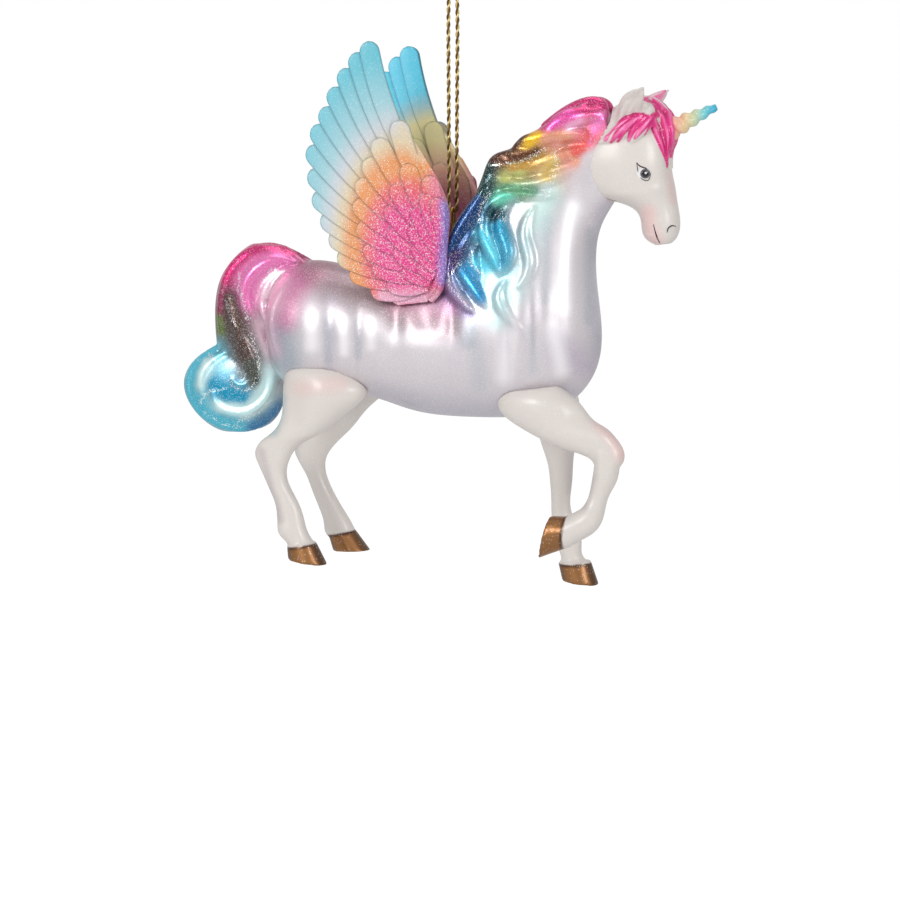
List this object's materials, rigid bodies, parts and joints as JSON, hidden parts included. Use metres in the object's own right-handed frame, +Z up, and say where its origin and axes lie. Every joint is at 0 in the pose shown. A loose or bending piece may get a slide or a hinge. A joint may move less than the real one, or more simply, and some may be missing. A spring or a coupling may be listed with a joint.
{
  "type": "unicorn figurine",
  "caption": "Hanging ornament: a winged unicorn with a hollow blown glass body, glued cast head, horn, wings and legs, a metal cap and a doubled cord.",
  "frame": {"origin": "inner top of the cord's loop, at the underside of the knot, where a hook carries the ornament", "axes": "+X towards the head, +Y towards the figure's left flank, +Z up along the cord"},
  "size_m": [0.1342, 0.0304, 0.1601],
  "materials": {
    "lacquered_glass": "silvered inside, pearl and rainbow lacquer outside with glitter",
    "cast_resin": "cast resin, pearl paint, painted hooves and eyes",
    "horn_resin": "cast resin, pearl rainbow paint",
    "wing_resin": "cast resin, rainbow paint with glitter",
    "cap_metal": "thin stamped metal, gold",
    "wire_metal": "gold plated wire",
    "gold_cord": "twisted metallic cord"
  },
  "bodies": {
    "cord": {"hanging_cord": "gold_cord", "cord_knot": "gold_cord"},
    "wire": {"wire_loop": "wire_metal"},
    "cap": {"hanger_cap": "cap_metal"},
    "figure": {"glass_body": "lacquered_glass", "head": "cast_resin", "horn": "horn_resin", "right_wing": "wing_resin", "left_wing": "wing_resin", "right_fore_leg": "cast_resin", "left_fore_leg": "cast_resin", "right_hind_leg": "cast_resin", "left_hind_leg": "cast_resin"}
  },
  "joints": [
    {"name": "swing", "type": "hinge", "parent": "cord", "child": "wire", "pos_m": [0, 0, -0.06], "axis": [0, 1, 0], "range_deg": [-30, 45]},
    {"name": "cap_slide", "type": "slide", "parent": "wire", "child": "cap", "axis": [0, 0, 1], "range_m": [0, 0.0012]},
    {"name": "cap_pull", "type": "slide", "parent": "cap", "child": "figure", "axis": [0, 0, -1], "range_m": [0, 0.012]}
  ]
}
